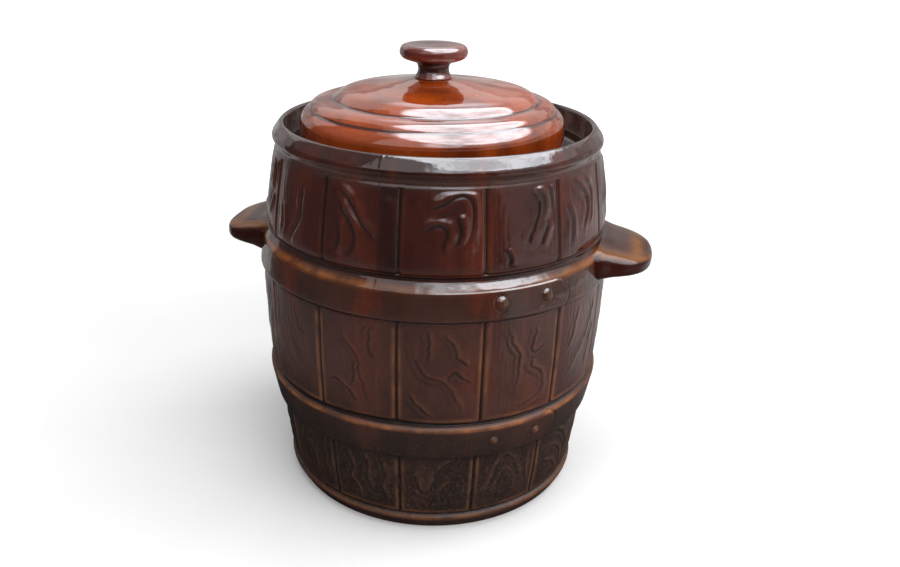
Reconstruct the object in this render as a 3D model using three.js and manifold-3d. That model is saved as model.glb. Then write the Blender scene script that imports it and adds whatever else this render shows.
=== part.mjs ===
// Barrel fermentation crock: a stoneware barrel with stave and hoop relief, a water seal gutter,
// two lug handles, a stepped lid with a mushroom knob, and two half-moon weight stones inside.
// Millimetres. +Z is up, the foot stands on Z = 0, the lugs lie along X, the front faces -Y.
import * as THREE from "three";
import { mergeVertices } from "three/addons/utils/BufferGeometryUtils.js";
import Module from "manifold-3d";

// Gap left where one piece is seated on another
const SEAT_GAP = 0.3;

// Heights of the bands of the barrel, from the foot up
const BASE_BAND_HEIGHT = 12;
const LOWER_STAVE_HEIGHT = 56;
const LOWER_HOOP_HEIGHT = 25;
const MIDDLE_STAVE_HEIGHT = 79.5;
const UPPER_HOOP_HEIGHT = 19;
const HOOP_COVE_HEIGHT = 10;
const UPPER_STAVE_HEIGHT = 54;
const NECK_COVE_HEIGHT = 8.5;
const COLLAR_HEIGHT = 10;

// Radii of the stave surface at the ends of its three zones
const LOWER_STAVE_FOOT_RADIUS = 112.3;
const LOWER_STAVE_TOP_RADIUS = 117.6;
const MIDDLE_STAVE_FOOT_RADIUS = 125.2;
const MIDDLE_STAVE_TOP_RADIUS = 127.2;
const UPPER_STAVE_FOOT_RADIUS = 124.3;
const UPPER_STAVE_TOP_RADIUS = 116.8;
const STAVE_BOW = 0.7;

// Staves: a joint groove between neighbours, each stave slightly crowned
const STAVES = 14;
const STAVE_GROOVE_WIDTH = 4.4;
const STAVE_GROOVE_DEPTH = 1.8;
const STAVE_CROWN = 0.6;

// How far the base band, the hoops and the collar stand out of the staves
const FOOT_INSET = 2.3;
const BASE_BAND_PROUD = 1.8;
const LOWER_HOOP_FOOT_PROUD = 5.6;
const LOWER_HOOP_TOP_PROUD = 2.2;
const UPPER_HOOP_FOOT_PROUD = 2.8;
const UPPER_HOOP_TOP_PROUD = 1.9;
const COLLAR_PROUD = 2;
const EDGE_ROUND = 1.5;
const BAND_GROOVE = 1.2;
const HOOP_COVE_DEPTH = 1.9;
const NECK_COVE_DEPTH = 0.7;

// Lapped and riveted ends of the hoops, as angles round the barrel from the front
const LAP_THICKNESS = 0.8;
const LAP_START_DEG = 0;
const TONGUE_START_DEG = 43;
const TONGUE_END_DEG = 54;
const TONGUE_OVERLAP_DEG = 3;
const RIVET_DEGS = [30.2, 45.2];
const UPPER_RIVET_RADIUS = 4;
const LOWER_RIVET_RADIUS = 3;
const RIVET_HEIGHT = 1.7;

// Inside of the barrel
const WALL = 9;
const FLOOR = 12;
const FLOOR_FILLET = 12;
const FOOT_RING_WIDTH = 16;
const FOOT_RECESS = 2;
const RIM_WIDTH = 9.8;
const RIM_FACE = 3.2;
const NECK_TAPER = 11;

// Water seal gutter, luted inside the collar
const GUTTER_DEPTH = 24.5;
const GUTTER_FLOOR = 8;
const GUTTER_COVE = 8.5;
const GUTTER_SIDE_GAP = 0.6;
const GUTTER_LIP = 1;
const GUTTER_WIDTH = 28;
const NECK_WALL = 8;
const NECK_BELOW_RIM = 3;

// Lug handles on the upper hoop
const LUG_REACH = 30.2;
const LUG_ROOT_SINK = 8;
const LUG_ROOT_WIDTH = 85;
const LUG_TIP_WIDTH = 62;
const LUG_CORNER = 14;
const LUG_ROOT_TOP_UP = 6;
const LUG_ROOT_THICKNESS = 24;
const LUG_TIP_DROP = 9;
const LUG_TIP_THICKNESS = 10.5;
const LUG_EDGE_ROUND = 2.6;

// Lid: skirt in the gutter, two terraces and a shallow, almost conical top
const LID_PLAY = 6.3;
const LID_WALL = 7;
const LID_SHIFT_X = -3.9;
const LID_SHIFT_Y = -0.7;
const SKIRT_HEIGHT = 27.3;
const LOWER_TREAD = 6.6;
const LOWER_TREAD_RISE = 4.6;
const LOWER_RISER = 5.4;
const UPPER_TREAD = 14.5;
const UPPER_TREAD_RISE = 1.4;
const UPPER_RISER = 4.2;
const RISER_DRAFT = 1.4;
const TERRACE_ROUND = 1.6;
const DOME_RISE = 9.5;
const DOME_POWER = 1.15;
const KNOB_SEAT_MARGIN = 1;
const NOTCH_RADIUS = 6;

// Knob luted on the crown
const KNOB_FOOT_RADIUS = 13.2;
const KNOB_NECK_RADIUS = 10.8;
const KNOB_NECK_HEIGHT = 10.6;
const KNOB_RADIUS = 24;
const KNOB_HEAD_HEIGHT = 12.9;

// Weight stones on the floor of the crock
const STONE_CLEARANCE = 8;
const STONE_THICKNESS = 25;
const STONE_SPLIT = 4;
const STONE_HOLE_RADIUS = 11;
const STONE_HOLE_OFFSET = 42;
const STONE_ROUND = 3;

// Columns round each stave: groove, edge, two on the crown, edge
const COLUMNS_PER_STAVE = 5;
const PLAIN_COLUMNS = 52;
const SMALL_COLUMNS = 28;

// Heights and radii that follow from the values above
const lowerStaveFoot = BASE_BAND_HEIGHT;
const lowerHoopFoot = lowerStaveFoot + LOWER_STAVE_HEIGHT;
const middleStaveFoot = lowerHoopFoot + LOWER_HOOP_HEIGHT;
const upperHoopFoot = middleStaveFoot + MIDDLE_STAVE_HEIGHT;
const hoopCoveFoot = upperHoopFoot + UPPER_HOOP_HEIGHT;
const upperStaveFoot = hoopCoveFoot + HOOP_COVE_HEIGHT;
const neckCoveFoot = upperStaveFoot + UPPER_STAVE_HEIGHT;
const collarFoot = neckCoveFoot + NECK_COVE_HEIGHT;
const rimTop = collarFoot + COLLAR_HEIGHT;
const footRadius = LOWER_STAVE_FOOT_RADIUS - FOOT_INSET;
const collarRadius = UPPER_STAVE_TOP_RADIUS + COLLAR_PROUD;
const rimInnerRadius = collarRadius - RIM_WIDTH;
const gutterFloorTop = rimTop - GUTTER_DEPTH;
const gutterUnderside = gutterFloorTop - GUTTER_FLOOR;
const taperFoot = gutterUnderside - NECK_TAPER;
const neckRadius = rimInnerRadius - GUTTER_WIDTH;
const mouthRadius = neckRadius - NECK_WALL;
const skirtInnerRadius = neckRadius + LID_PLAY;
const skirtRadius = skirtInnerRadius + LID_WALL;
const lidFoot = gutterFloorTop + SEAT_GAP;
const upperHoopRadius = MIDDLE_STAVE_TOP_RADIUS + UPPER_HOOP_FOOT_PROUD;
const lugNose = upperHoopRadius + LUG_REACH;
const lugRoot = upperHoopRadius - LUG_ROOT_SINK;

const wasm = await Module();
wasm.setup();

// Closed solid from a three.js geometry, without its collapsed triangles
function solidOf(geometry) {
  const bare = geometry.clone();
  bare.deleteAttribute("normal");
  bare.deleteAttribute("uv");
  const welded = mergeVertices(bare, 1e-4);
  const corners = welded.index.array;
  const kept = [];
  for (let i = 0; i < corners.length; i += 3) {
    const [a, b, c] = [corners[i], corners[i + 1], corners[i + 2]];
    if (a !== b && b !== c && c !== a) kept.push(a, b, c);
  }
  const vertProperties = Float32Array.from(welded.attributes.position.array);
  const triVerts = Uint32Array.from(kept);
  return new wasm.Manifold(new wasm.Mesh({ numProp: 3, vertProperties, triVerts }));
}

function geometryOf(solid) {
  const mesh = solid.getMesh();
  const geometry = new THREE.BufferGeometry();
  geometry.setAttribute("position", new THREE.BufferAttribute(mesh.vertProperties, 3));
  geometry.setIndex(new THREE.BufferAttribute(mesh.triVerts, 1));
  geometry.computeVertexNormals();
  return geometry;
}

// Turned shape about the Z axis; the profile is a list of [radius, height]
function turned(profile, columns) {
  const points = profile.map(([r, z]) => new THREE.Vector2(r, z));
  return new THREE.LatheGeometry(points, columns).rotateX(Math.PI / 2);
}

// Columns of the barrel gather at the stave joints; column 0 is the joint at the front
function columnAngle(column) {
  const pitch = (2 * Math.PI) / STAVES;
  const groove = STAVE_GROOVE_WIDTH / 2 / MIDDLE_STAVE_TOP_RADIUS;
  const within = [0, groove, pitch / 3, (2 * pitch) / 3, pitch - groove];
  return Math.floor(column / COLUMNS_PER_STAVE) * pitch + within[column % COLUMNS_PER_STAVE];
}

// The free end of each hoop lifts off gradually over the end below it
function lapAt(degrees) {
  if (degrees < LAP_START_DEG || degrees > TONGUE_START_DEG) return 0;
  return (LAP_THICKNESS * (degrees - LAP_START_DEG)) / (TONGUE_START_DEG - LAP_START_DEG);
}

function reliefAt(kind, column) {
  if (kind === "stave") {
    return [-STAVE_GROOVE_DEPTH, 0, STAVE_CROWN, STAVE_CROWN, 0][column % COLUMNS_PER_STAVE];
  }
  if (kind === "hoop") return lapAt(THREE.MathUtils.radToDeg(columnAngle(column)));
  return 0;
}

// Barrel shape from rows of { r, z, kind }, with every radius grown by the same amount
function barrelTurned(rows, grow) {
  const geometry = turned(rows.map((row) => [row.r, row.z]), STAVES * COLUMNS_PER_STAVE);
  const position = geometry.attributes.position;
  for (let i = 0; i < position.count; i += 1) {
    const row = rows[i % rows.length];
    const column = Math.floor(i / rows.length);
    const angle = columnAngle(column);
    const radius = row.r > 0 ? row.r + grow + reliefAt(row.kind, column) : 0;
    position.setXYZ(i, radius * Math.sin(angle), -radius * Math.cos(angle), row.z);
  }
  return geometry;
}

const plain = (r, z) => ({ r, z, kind: "plain" });

// Rows up one zone of staves, slightly bowed
function staveRows(foot, top, footRadius, topRadius, steps) {
  const rows = [];
  for (let i = 0; i <= steps; i += 1) {
    const t = i / steps;
    const bow = STAVE_BOW * 4 * t * (1 - t);
    const r = THREE.MathUtils.lerp(footRadius, topRadius, t) + bow;
    rows.push({ r, z: THREE.MathUtils.lerp(foot, top, t), kind: "stave" });
  }
  return rows;
}

// Rows up the face of one hoop, rounded at both edges
function hoopRows(foot, top, footRadius, topRadius) {
  return [
    [footRadius - EDGE_ROUND / 2, foot],
    [footRadius, foot + EDGE_ROUND],
    [topRadius, top - EDGE_ROUND],
    [topRadius - EDGE_ROUND / 2, top],
  ].map(([r, z]) => ({ r, z, kind: "hoop" }));
}

const lowerHoop = {
  foot: lowerHoopFoot,
  top: middleStaveFoot,
  footRadius: LOWER_STAVE_TOP_RADIUS + LOWER_HOOP_FOOT_PROUD,
  topRadius: MIDDLE_STAVE_FOOT_RADIUS + LOWER_HOOP_TOP_PROUD,
  rivetRadius: LOWER_RIVET_RADIUS,
};
const upperHoop = {
  foot: upperHoopFoot,
  top: hoopCoveFoot,
  footRadius: upperHoopRadius,
  topRadius: UPPER_STAVE_FOOT_RADIUS + UPPER_HOOP_TOP_PROUD,
  rivetRadius: UPPER_RIVET_RADIUS,
};

// Rim from its upright face over a broad bevel to its rounded inside edge
const rimRows = [
  plain(collarRadius, collarFoot + RIM_FACE / 2),
  plain(collarRadius - EDGE_ROUND / 3, collarFoot + RIM_FACE),
  plain(rimInnerRadius + 2 * EDGE_ROUND, rimTop - EDGE_ROUND / 3),
  plain(rimInnerRadius + EDGE_ROUND, rimTop),
  plain(rimInnerRadius, rimTop - EDGE_ROUND),
];

const bandRadius = LOWER_STAVE_FOOT_RADIUS + BASE_BAND_PROUD;
const coveRadius = UPPER_STAVE_FOOT_RADIUS - HOOP_COVE_DEPTH;
const neckCoveRadius = UPPER_STAVE_TOP_RADIUS - NECK_COVE_DEPTH;

// Outside of the barrel from the middle of the underside to the rim
const outsideRows = [
  plain(0, FOOT_RECESS),
  plain(footRadius - FOOT_RING_WIDTH - FOOT_RECESS, FOOT_RECESS),
  plain(footRadius - FOOT_RING_WIDTH, 0),
  plain(footRadius - EDGE_ROUND, 0),
  plain(footRadius, EDGE_ROUND),
  plain(bandRadius, BASE_BAND_HEIGHT - 2 * EDGE_ROUND),
  plain(bandRadius - EDGE_ROUND / 2, BASE_BAND_HEIGHT - EDGE_ROUND / 2),
  plain(LOWER_STAVE_FOOT_RADIUS - BAND_GROOVE, BASE_BAND_HEIGHT + BAND_GROOVE / 2),
  ...staveRows(
    lowerStaveFoot + 2 * BAND_GROOVE,
    lowerHoopFoot - EDGE_ROUND,
    LOWER_STAVE_FOOT_RADIUS,
    LOWER_STAVE_TOP_RADIUS,
    3,
  ),
  plain(LOWER_STAVE_TOP_RADIUS - BAND_GROOVE, lowerHoopFoot - EDGE_ROUND / 4),
  ...hoopRows(lowerHoop.foot, lowerHoop.top, lowerHoop.footRadius, lowerHoop.topRadius),
  plain(MIDDLE_STAVE_FOOT_RADIUS - BAND_GROOVE, middleStaveFoot + BAND_GROOVE),
  ...staveRows(
    middleStaveFoot + 3 * BAND_GROOVE,
    upperHoopFoot - EDGE_ROUND,
    MIDDLE_STAVE_FOOT_RADIUS,
    MIDDLE_STAVE_TOP_RADIUS,
    4,
  ),
  plain(MIDDLE_STAVE_TOP_RADIUS - BAND_GROOVE, upperHoopFoot - EDGE_ROUND / 4),
  ...hoopRows(upperHoop.foot, upperHoop.top, upperHoop.footRadius, upperHoop.topRadius),
  plain(coveRadius + HOOP_COVE_DEPTH / 4, hoopCoveFoot + HOOP_COVE_HEIGHT / 4),
  plain(coveRadius, upperStaveFoot - HOOP_COVE_HEIGHT / 3),
  ...staveRows(
    upperStaveFoot,
    neckCoveFoot,
    UPPER_STAVE_FOOT_RADIUS,
    UPPER_STAVE_TOP_RADIUS,
    4,
  ),
  plain(neckCoveRadius, neckCoveFoot + NECK_COVE_HEIGHT / 3),
  plain(neckCoveRadius, collarFoot - NECK_COVE_HEIGHT / 4),
  plain(collarRadius - EDGE_ROUND / 2, collarFoot),
  ...rimRows,
];

// Radius of the inside wall at a height, one wall thickness behind the staves
function insideRadius(z) {
  const stations = [
    [lowerStaveFoot, LOWER_STAVE_FOOT_RADIUS],
    [lowerHoopFoot, LOWER_STAVE_TOP_RADIUS],
    [middleStaveFoot, MIDDLE_STAVE_FOOT_RADIUS],
    [upperHoopFoot, MIDDLE_STAVE_TOP_RADIUS],
    [upperStaveFoot, UPPER_STAVE_FOOT_RADIUS],
    [neckCoveFoot, UPPER_STAVE_TOP_RADIUS],
  ];
  for (let i = 1; i < stations.length; i += 1) {
    const [z0, r0] = stations[i - 1];
    const [z1, r1] = stations[i];
    if (z <= z1) return THREE.MathUtils.mapLinear(z, z0, z1, r0, r1) - WALL;
  }
  return UPPER_STAVE_TOP_RADIUS - WALL;
}

const floorRadius = insideRadius(FLOOR + FLOOR_FILLET) - FLOOR_FILLET;

// Inside of the barrel from the wall round the gutter ring down to the floor
const insideRows = [
  plain(rimInnerRadius, gutterUnderside),
  plain(insideRadius(taperFoot), taperFoot),
  ...[upperStaveFoot, upperHoopFoot, middleStaveFoot, lowerHoopFoot].map((z) =>
    plain(insideRadius(z), z),
  ),
  plain(floorRadius + FLOOR_FILLET, FLOOR + FLOOR_FILLET),
  plain(floorRadius + FLOOR_FILLET * Math.cos(Math.PI / 6), FLOOR + FLOOR_FILLET / 2),
  plain(floorRadius + FLOOR_FILLET / 2, FLOOR + FLOOR_FILLET * (1 - Math.cos(Math.PI / 6))),
  plain(floorRadius, FLOOR),
  plain(0, FLOOR),
];

// Unit vectors out of the barrel and along it at an angle from the front
function outward(degrees) {
  const angle = THREE.MathUtils.degToRad(degrees);
  return new THREE.Vector3(Math.sin(angle), -Math.cos(angle), 0);
}

// Rounded free end of a hoop, lying on the hoop
function tongueSolid(hoop) {
  const inner = LAP_THICKNESS + EDGE_ROUND;
  const ring = [
    plain(hoop.footRadius - inner, hoop.foot + EDGE_ROUND),
    plain(hoop.footRadius + LAP_THICKNESS, hoop.foot + EDGE_ROUND),
    plain(hoop.topRadius + LAP_THICKNESS, hoop.top - EDGE_ROUND),
    plain(hoop.topRadius - inner, hoop.top - EDGE_ROUND),
    plain(hoop.footRadius - inner, hoop.foot + EDGE_ROUND),
  ];
  const half = (hoop.top - hoop.foot) / 2;
  const degrees = TONGUE_END_DEG - TONGUE_START_DEG + TONGUE_OVERLAP_DEG;
  const length = THREE.MathUtils.degToRad(degrees) * hoop.footRadius;
  const outline = new THREE.Shape();
  outline.moveTo(-length, -half);
  outline.lineTo(-half, -half);
  outline.absarc(-half, 0, half, -Math.PI / 2, Math.PI / 2, false);
  outline.lineTo(-length, half);
  outline.closePath();
  const depth = length;
  const prism = new THREE.ExtrudeGeometry(outline, { depth, bevelEnabled: false, curveSegments: 8 });
  const out = outward(TONGUE_END_DEG);
  const along = new THREE.Vector3(-out.y, out.x, 0);
  const place = new THREE.Matrix4().makeBasis(along, new THREE.Vector3(0, 0, 1), out);
  place.setPosition(out.clone().multiplyScalar(hoop.footRadius - depth / 2).setZ(hoop.foot + half));
  return solidOf(barrelTurned(ring, 0)).intersect(solidOf(prism.applyMatrix4(place)));
}

// Domed rivet head on the middle of a hoop
function rivetSolid(hoop, degrees) {
  const ball = (hoop.rivetRadius ** 2 + RIVET_HEIGHT ** 2) / (2 * RIVET_HEIGHT);
  const onTongue = degrees > TONGUE_START_DEG ? LAP_THICKNESS : lapAt(degrees);
  const face = (hoop.footRadius + hoop.topRadius) / 2 + onTongue;
  const centre = outward(degrees).multiplyScalar(face + RIVET_HEIGHT - ball);
  const geometry = new THREE.SphereGeometry(ball, 12, 8);
  geometry.translate(centre.x, centre.y, (hoop.foot + hoop.top) / 2);
  return solidOf(geometry);
}

function barrelSolid() {
  let solid = solidOf(barrelTurned([...outsideRows, ...insideRows], 0));
  for (const hoop of [lowerHoop, upperHoop]) {
    solid = solid.add(tongueSolid(hoop));
    for (const degrees of RIVET_DEGS) solid = solid.add(rivetSolid(hoop, degrees));
  }
  return solid;
}

// Gutter ring: the floor of the water channel and the neck that stands up from it
function gutterSolid() {
  const outer = rimInnerRadius - GUTTER_SIDE_GAP;
  const neckTop = rimTop - NECK_BELOW_RIM;
  const round = NECK_WALL / 2;
  const profile = [
    [mouthRadius, gutterUnderside],
    [outer, gutterUnderside],
    [outer, gutterFloorTop + GUTTER_COVE],
    [outer - GUTTER_LIP, gutterFloorTop + GUTTER_COVE],
  ];
  for (const turn of [Math.PI / 6, Math.PI / 3, Math.PI / 2]) {
    const r = outer - GUTTER_LIP - GUTTER_COVE * (1 - Math.cos(turn));
    profile.push([r, gutterFloorTop + GUTTER_COVE * (1 - Math.sin(turn))]);
  }
  profile.push([neckRadius + round, gutterFloorTop], [neckRadius, gutterFloorTop + round]);
  for (const turn of [0, Math.PI / 4, Math.PI / 2, (3 * Math.PI) / 4, Math.PI]) {
    const r = mouthRadius + round + round * Math.cos(turn);
    profile.push([r, neckTop - round + round * Math.sin(turn)]);
  }
  profile.push([mouthRadius, gutterUnderside]);
  return solidOf(turned(profile, PLAIN_COLUMNS));
}

// One lug: a blunt tongue in plan, thinner towards its nose, cut to the barrel at its root
function lugSolid(side) {
  const shape = new THREE.Shape();
  const root = LUG_ROOT_WIDTH / 2;
  const tip = LUG_TIP_WIDTH / 2;
  const start = lugRoot - LUG_ROOT_THICKNESS;
  const slope = (root - tip) / (lugNose - lugRoot);
  const shoulder = lugNose - LUG_CORNER;
  const shoulderHalf = tip + slope * LUG_CORNER;
  shape.moveTo(start, -root);
  shape.lineTo(lugRoot, -root);
  shape.lineTo(shoulder, -shoulderHalf);
  shape.quadraticCurveTo(lugNose, -tip, lugNose, LUG_CORNER - tip);
  shape.lineTo(lugNose, tip - LUG_CORNER);
  shape.quadraticCurveTo(lugNose, tip, shoulder, shoulderHalf);
  shape.lineTo(lugRoot, root);
  shape.lineTo(start, root);
  shape.closePath();
  const geometry = new THREE.ExtrudeGeometry(shape, {
    depth: LUG_ROOT_THICKNESS - 2 * LUG_EDGE_ROUND,
    bevelThickness: LUG_EDGE_ROUND,
    bevelSize: LUG_EDGE_ROUND,
    bevelOffset: -LUG_EDGE_ROUND,
    bevelSegments: 2,
    curveSegments: 5,
  });
  const rootTop = hoopCoveFoot + LUG_ROOT_TOP_UP;
  const position = geometry.attributes.position;
  for (let i = 0; i < position.count; i += 1) {
    const x = position.getX(i);
    const share = (position.getZ(i) + LUG_EDGE_ROUND) / LUG_ROOT_THICKNESS;
    const out = Math.max(0, (x - lugRoot) / (lugNose - lugRoot));
    const thickness = THREE.MathUtils.lerp(LUG_ROOT_THICKNESS, LUG_TIP_THICKNESS, out);
    const top = rootTop - LUG_TIP_DROP * out;
    position.setZ(i, top - thickness * (1 - share));
  }
  const barrel = solidOf(barrelTurned([...outsideRows, plain(0, rimTop)], SEAT_GAP));
  const turn = side < 0 ? Math.PI : 0;
  return solidOf(geometry.rotateZ(turn)).subtract(barrel);
}

// Lid heights and radii up the terraces, measured from its own axis and the rest on the gutter floor
const shoulderZ = lidFoot + SKIRT_HEIGHT;
const lowerRiserZ = shoulderZ + LOWER_TREAD_RISE;
const lowerEdgeZ = lowerRiserZ + LOWER_RISER;
const upperRiserZ = lowerEdgeZ + UPPER_TREAD_RISE;
const upperEdgeZ = upperRiserZ + UPPER_RISER;
const crownZ = upperEdgeZ + DOME_RISE;
const lowerRiserRadius = skirtRadius - LOWER_TREAD;
const lowerEdgeRadius = lowerRiserRadius - RISER_DRAFT;
const upperRiserRadius = lowerEdgeRadius - UPPER_TREAD;
const upperEdgeRadius = upperRiserRadius - RISER_DRAFT;

// Two rounded corners of a terrace edge
function terraceEdge(radius, z) {
  return [
    [radius, z - TERRACE_ROUND],
    [radius - TERRACE_ROUND * (1 - Math.SQRT1_2), z - TERRACE_ROUND * (1 - Math.SQRT1_2)],
    [radius - TERRACE_ROUND, z],
  ];
}

function lidSolid() {
  const seatRadius = KNOB_FOOT_RADIUS + KNOB_SEAT_MARGIN;
  const dome = [];
  for (const share of [0.86, 0.66, 0.44, 0.22, 0]) {
    const r = THREE.MathUtils.lerp(seatRadius, upperEdgeRadius - TERRACE_ROUND, share);
    dome.push([r, crownZ - DOME_RISE * share ** DOME_POWER]);
  }
  const rest = EDGE_ROUND;
  const profile = [
    [0, crownZ - LID_WALL],
    [upperEdgeRadius / 2, crownZ - LID_WALL - DOME_RISE / 3],
    [upperEdgeRadius - LID_WALL / 2, upperEdgeZ - LID_WALL],
    [lowerEdgeRadius - LID_WALL / 2, lowerEdgeZ - LID_WALL],
    [skirtInnerRadius, shoulderZ - LID_WALL],
    [skirtInnerRadius, lidFoot + rest],
    [skirtInnerRadius + rest, lidFoot],
    [skirtRadius - rest, lidFoot],
    [skirtRadius, lidFoot + rest],
    ...terraceEdge(skirtRadius, shoulderZ),
    [lowerRiserRadius, lowerRiserZ],
    ...terraceEdge(lowerEdgeRadius, lowerEdgeZ),
    [upperRiserRadius, upperRiserZ],
    ...terraceEdge(upperEdgeRadius, upperEdgeZ),
    ...dome,
    [0, crownZ],
  ];
  const length = 3 * skirtRadius;
  const notch = new THREE.CylinderGeometry(NOTCH_RADIUS, NOTCH_RADIUS, length, 16);
  notch.rotateZ(Math.PI / 2).translate(0, 0, lidFoot);
  return solidOf(turned(profile, PLAIN_COLUMNS)).subtract(solidOf(notch));
}

function knobSolid() {
  const foot = crownZ + SEAT_GAP;
  const head = foot + KNOB_NECK_HEIGHT;
  const neckAt = (share) => THREE.MathUtils.lerp(KNOB_FOOT_RADIUS, KNOB_NECK_RADIUS, share);
  const headAt = (share) => THREE.MathUtils.lerp(KNOB_NECK_RADIUS, KNOB_RADIUS, share);
  const profile = [
    [0, foot],
    [KNOB_FOOT_RADIUS, foot],
    [neckAt(0.55), foot + KNOB_NECK_HEIGHT * 0.18],
    [neckAt(1), foot + KNOB_NECK_HEIGHT * 0.6],
    [headAt(0.2), head],
    [headAt(0.56), head + KNOB_HEAD_HEIGHT * 0.12],
    [headAt(0.84), head + KNOB_HEAD_HEIGHT * 0.22],
    [headAt(0.97), head + KNOB_HEAD_HEIGHT * 0.36],
    [headAt(1), head + KNOB_HEAD_HEIGHT * 0.56],
    [headAt(0.96), head + KNOB_HEAD_HEIGHT * 0.77],
    [headAt(0.84), head + KNOB_HEAD_HEIGHT * 0.9],
    [headAt(0.6), head + KNOB_HEAD_HEIGHT * 0.96],
    [0, head + KNOB_HEAD_HEIGHT],
  ];
  return solidOf(turned(profile, SMALL_COLUMNS));
}

// Half-moon stone with a finger hole; side is -1 for the left half and 1 for the right
function stoneSolid(side) {
  const radius = floorRadius - STONE_CLEARANCE;
  const open = Math.acos(STONE_SPLIT / 2 / radius);
  const shape = new THREE.Shape();
  shape.absarc(0, 0, radius, -open, open, false);
  shape.closePath();
  const hole = new THREE.Path();
  hole.absarc(STONE_HOLE_OFFSET, 0, STONE_HOLE_RADIUS, 0, 2 * Math.PI, true);
  shape.holes.push(hole);
  const geometry = new THREE.ExtrudeGeometry(shape, {
    depth: STONE_THICKNESS - 2 * STONE_ROUND,
    bevelThickness: STONE_ROUND,
    bevelSize: STONE_ROUND,
    bevelOffset: -STONE_ROUND,
    bevelSegments: 2,
    curveSegments: 11,
  });
  geometry.translate(0, 0, FLOOR + SEAT_GAP + STONE_ROUND);
  return solidOf(geometry.rotateZ(side < 0 ? Math.PI : 0));
}

function glaze(color, roughness) {
  return new THREE.MeshStandardMaterial({ color, roughness, metalness: 0 });
}

const crock = new THREE.Group();
crock.name = "barrel_fermentation_crock";

function addPiece(name, solid, material) {
  const mesh = new THREE.Mesh(geometryOf(solid), material);
  mesh.name = name;
  crock.add(mesh);
  return mesh;
}

addPiece("crock_barrel", barrelSolid(), glaze(0x4a2b20, 0.28));
addPiece("gutter_ring", gutterSolid(), glaze(0x3a211b, 0.22));
addPiece("lug_left", lugSolid(-1), glaze(0x55301f, 0.26));
addPiece("lug_right", lugSolid(1), glaze(0x55301f, 0.26));
const lid = addPiece("lid_cover", lidSolid(), glaze(0x8a3f14, 0.12));
const knob = addPiece("lid_knob", knobSolid(), glaze(0x7a3216, 0.12));
for (const piece of [lid, knob]) piece.geometry.translate(LID_SHIFT_X, LID_SHIFT_Y, 0);
addPiece("weight_stone_left", stoneSolid(-1), glaze(0xb9a88c, 0.75));
addPiece("weight_stone_right", stoneSolid(1), glaze(0xb9a88c, 0.75));

export default crock;
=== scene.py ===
"""Looks of the barrel fermentation crock: glazed stoneware with staves, hoops, lugs and a stepped lid."""
import math
from types import SimpleNamespace

import bpy
import numpy as np
from mathutils import Matrix, Vector


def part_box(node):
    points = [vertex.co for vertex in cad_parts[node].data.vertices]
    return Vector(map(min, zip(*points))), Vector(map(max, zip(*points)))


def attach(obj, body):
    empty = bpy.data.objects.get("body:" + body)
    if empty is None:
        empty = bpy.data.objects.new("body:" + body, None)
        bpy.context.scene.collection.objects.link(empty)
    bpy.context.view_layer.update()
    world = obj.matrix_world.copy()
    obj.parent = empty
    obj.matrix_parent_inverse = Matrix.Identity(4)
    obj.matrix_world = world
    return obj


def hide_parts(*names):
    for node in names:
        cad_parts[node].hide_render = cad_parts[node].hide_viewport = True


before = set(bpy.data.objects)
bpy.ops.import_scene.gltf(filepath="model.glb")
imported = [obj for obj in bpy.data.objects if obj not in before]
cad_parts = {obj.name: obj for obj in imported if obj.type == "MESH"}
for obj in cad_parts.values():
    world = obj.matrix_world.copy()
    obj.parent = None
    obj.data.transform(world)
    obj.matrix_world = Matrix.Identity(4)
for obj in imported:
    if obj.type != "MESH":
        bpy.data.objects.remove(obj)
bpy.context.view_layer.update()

MM = 0.001

# Sizes taken from the frame
RIM_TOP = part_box("crock_barrel")[1].z
LID_LOW, LID_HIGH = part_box("lid_cover")
KNOB_LOW, KNOB_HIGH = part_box("lid_knob")
LUG_LOW, LUG_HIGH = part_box("lug_right")
GUTTER_LOW, GUTTER_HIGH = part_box("gutter_ring")
STONE_LOW, STONE_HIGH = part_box("weight_stone_right")
LID_CENTRE = (LID_LOW + LID_HIGH) / 2
KNOB_CENTRE = (KNOB_LOW + KNOB_HIGH) / 2

# Staves, counted round from the joint at the front towards the right lug
STAVES = 14
STAVE_PITCH = 2 * math.pi / STAVES
STAVE_BOW = 0.7 * MM
STAVE_CROWN = 0.5 * MM
STAVE_CORNER = 1.8 * MM
GROOVE_HALF_WIDTH = 0.8 * MM
BEAD_INSET = 1.9 * MM
AMBER_INSET = 1.3 * MM
BORDER_WIDTH = 0.9 * MM
HIDDEN_STAVES = range(3, 11)

# Hoops: height of the foot and the top with the radius at each, radius of the rivets, how far they sit
# above the middle of the hoop, and the share of thin glaze on them
LOWER_HOOP = SimpleNamespace(
    foot=68.0 * MM, foot_radius=123.2 * MM, top=93.2 * MM, top_radius=127.4 * MM,
    rivet=3.4 * MM, rivet_up=0.0, rubbed=0.4,
)
UPPER_HOOP = SimpleNamespace(
    foot=172.5 * MM, foot_radius=130.0 * MM, top=191.4 * MM, top_radius=126.2 * MM,
    rivet=4.4 * MM, rivet_up=1.8 * MM, rubbed=0.12,
)
LAP_THICKNESS = 1.0 * MM
LAP_START = math.radians(0)
TONGUE_END = math.radians(54)
RIVET_ANGLES = (math.radians(30.2), math.radians(45.2))
RIVET_HEIGHT = 2.2 * MM

# Open gap over the lower hoop at the front, cut deeper and darkened with painted shadow
GAP_PLACE = 96.2 * MM
GAP_WIDTH = 1.6 * MM
GAP_DEPTH = 1.5 * MM
GAP_ANGLE = math.radians(-5)
GAP_SPREAD = math.radians(11)
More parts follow.
